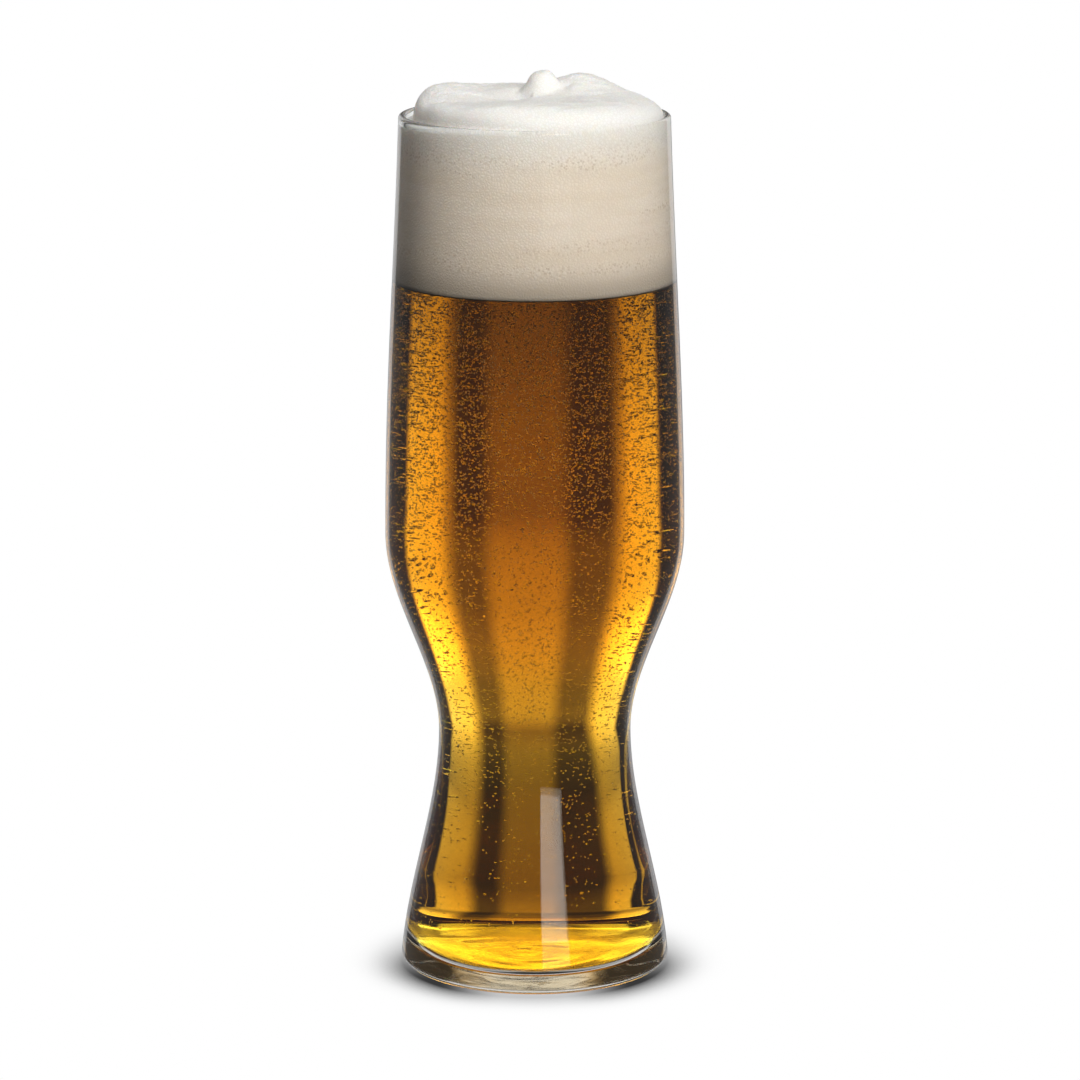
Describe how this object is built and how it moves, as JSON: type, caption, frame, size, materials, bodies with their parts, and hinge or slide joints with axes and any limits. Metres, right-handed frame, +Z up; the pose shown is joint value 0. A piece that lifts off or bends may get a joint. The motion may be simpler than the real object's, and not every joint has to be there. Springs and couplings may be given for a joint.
{
  "type": "pilsner glass",
  "caption": "Tall waisted pilsner glass with a flared foot and a gently tapered bowl, poured with golden lager under a heaped foam head.",
  "frame": {"origin": "on the table under the axis of the glass, at the middle of its standing ring", "axes": "+Z up the axis from the foot to the lip; the picture looks along +Y"},
  "size_m": [0.0676, 0.0676, 0.2049],
  "materials": {
    "glass": "clear blown glass, fire polished at the lip",
    "beer": "clear golden lager",
    "foam": "dense cream-white foam of fine bubbles",
    "gas": "bubbles of gas in the beer"
  },
  "bodies": {
    "vessel": {"glass": "glass"},
    "drink": {"beer": "beer", "foam_head": "foam", "rising_bubbles": "gas"}
  },
  "joints": [
    {"name": "drink_swirl", "type": "hinge", "parent": "vessel", "child": "drink", "pos_m": [0, 0, 0], "axis": [0, 0, 1], "continuous": true}
  ]
}
